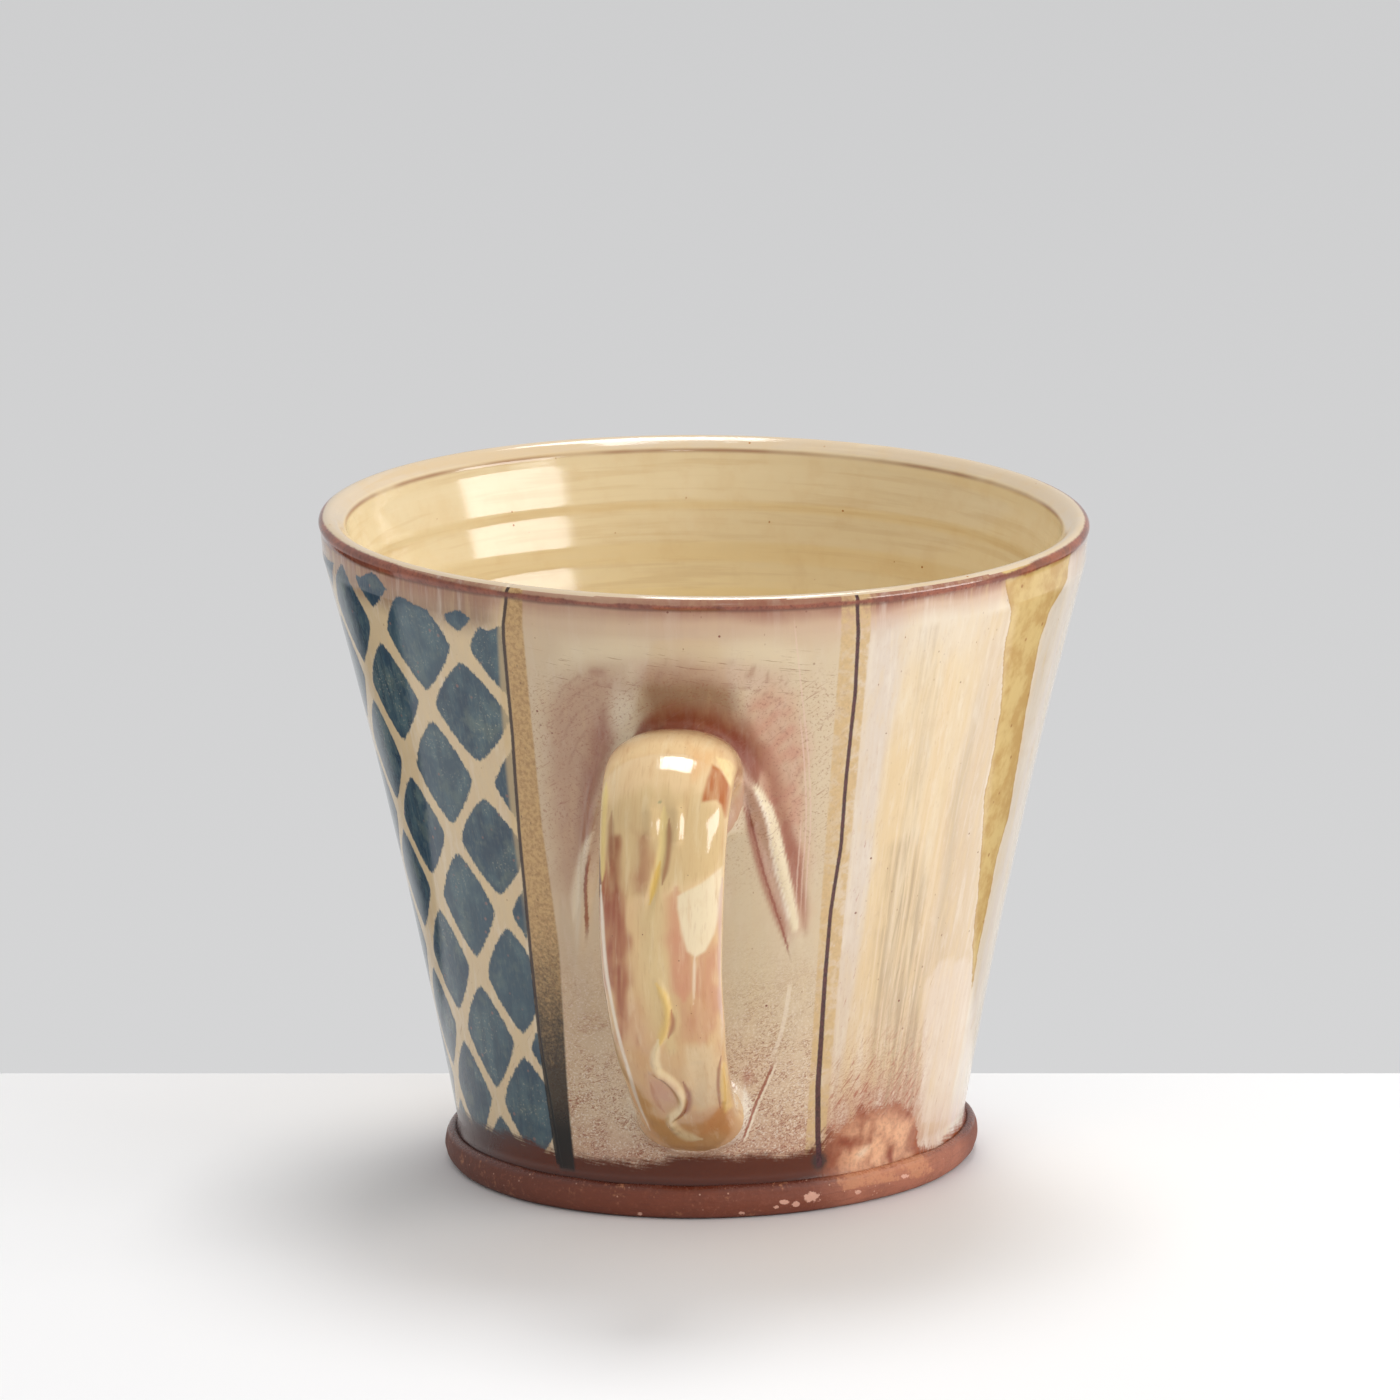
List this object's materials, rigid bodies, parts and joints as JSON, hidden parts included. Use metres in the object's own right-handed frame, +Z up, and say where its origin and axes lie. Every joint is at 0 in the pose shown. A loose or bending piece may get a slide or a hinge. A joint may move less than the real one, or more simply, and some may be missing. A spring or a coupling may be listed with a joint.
{
  "type": "mug",
  "caption": "Hand-thrown slipware mug: flared glazed wall, bevelled rim, flanged unglazed foot and a pulled strap handle with a splayed upper root.",
  "frame": {"origin": "centre of the mug's flat base, on the surface it stands on and on the axis that the wall was thrown about", "axes": "+Z up along the thrown axis, out of the base and towards the rim; -Y towards the handle; +X completes the right-handed frame"},
  "size_m": [0.112, 0.1403, 0.0968],
  "materials": {
    "slip_glazed_wall": "gloss",
    "bare_red_clay": "matte",
    "honey_glazed_strap": "gloss",
    "slip_glazed_root": "gloss",
    "honey_glazed_terminal": "gloss"
  },
  "bodies": {
    "root": {"vessel_body": "slip_glazed_wall", "foot_ring": "bare_red_clay", "handle_strap": "honey_glazed_strap", "handle_upper_root": "slip_glazed_root", "handle_lower_terminal": "honey_glazed_terminal"}
  },
  "joints": []
}
